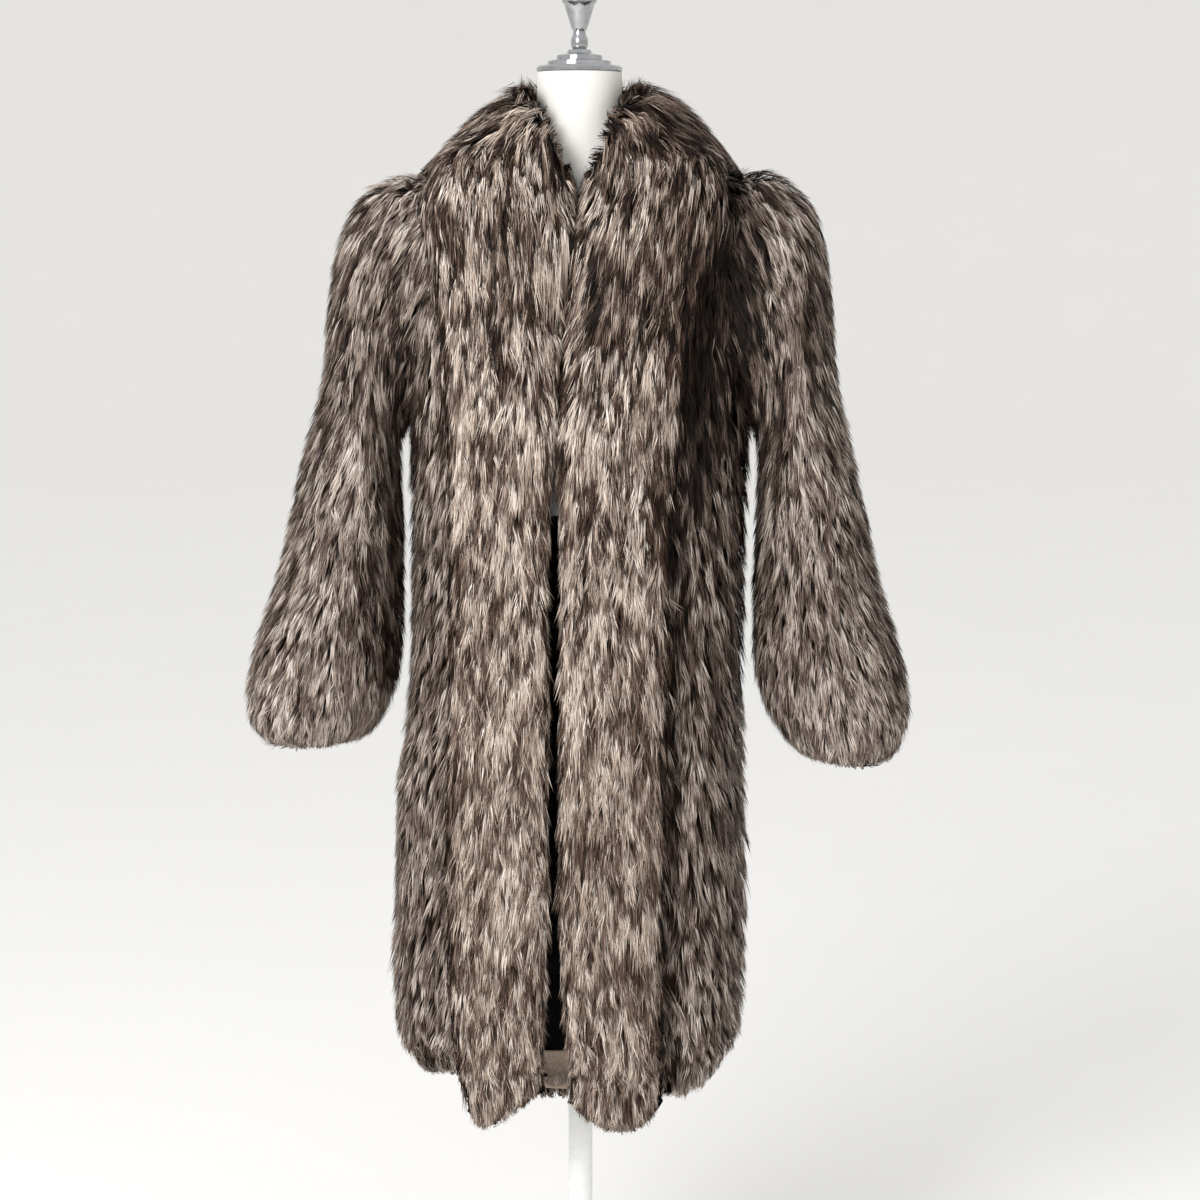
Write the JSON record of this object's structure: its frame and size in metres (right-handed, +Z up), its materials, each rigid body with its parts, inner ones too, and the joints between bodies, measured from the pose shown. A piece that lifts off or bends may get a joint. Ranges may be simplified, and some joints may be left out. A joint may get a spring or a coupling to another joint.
{
  "type": "long fur coat on a limbless dress form",
  "caption": "Full-length silver fox style fur coat with a shawl collar and wide tuxedo bands, hanging open on a white dress form with a chrome neck cap, pole and round foot.",
  "frame": {"origin": "centre of the foot's underside, on the floor", "axes": "+Z up along the pole, the coat's front faces -Y, the wearer's left is +X"},
  "size_m": [0.73, 0.38, 1.5775],
  "materials": {
    "silver_fur": "long silver-tipped fox pile, brown-black underfur and cream bands",
    "collar_fur": "longest pile, high contrast cream streaks over dark brown",
    "dark_lining": "black satin",
    "hem_facing": "beige brushed hem tape",
    "white_form": "white stretch cover, matte",
    "chrome": "polished",
    "white_enamel": "semi-gloss white"
  },
  "bodies": {
    "root": {"back": "silver_fur", "front_left": "silver_fur", "front_right": "silver_fur", "sleeve_left": "silver_fur", "sleeve_right": "silver_fur", "collar_left": "collar_fur", "collar_right": "collar_fur", "back_lining": "dark_lining", "back_hem_facing": "hem_facing", "form_torso": "white_form", "neck_cap": "chrome", "finial": "chrome", "form_pole": "white_enamel", "foot": "white_enamel"}
  },
  "joints": []
}
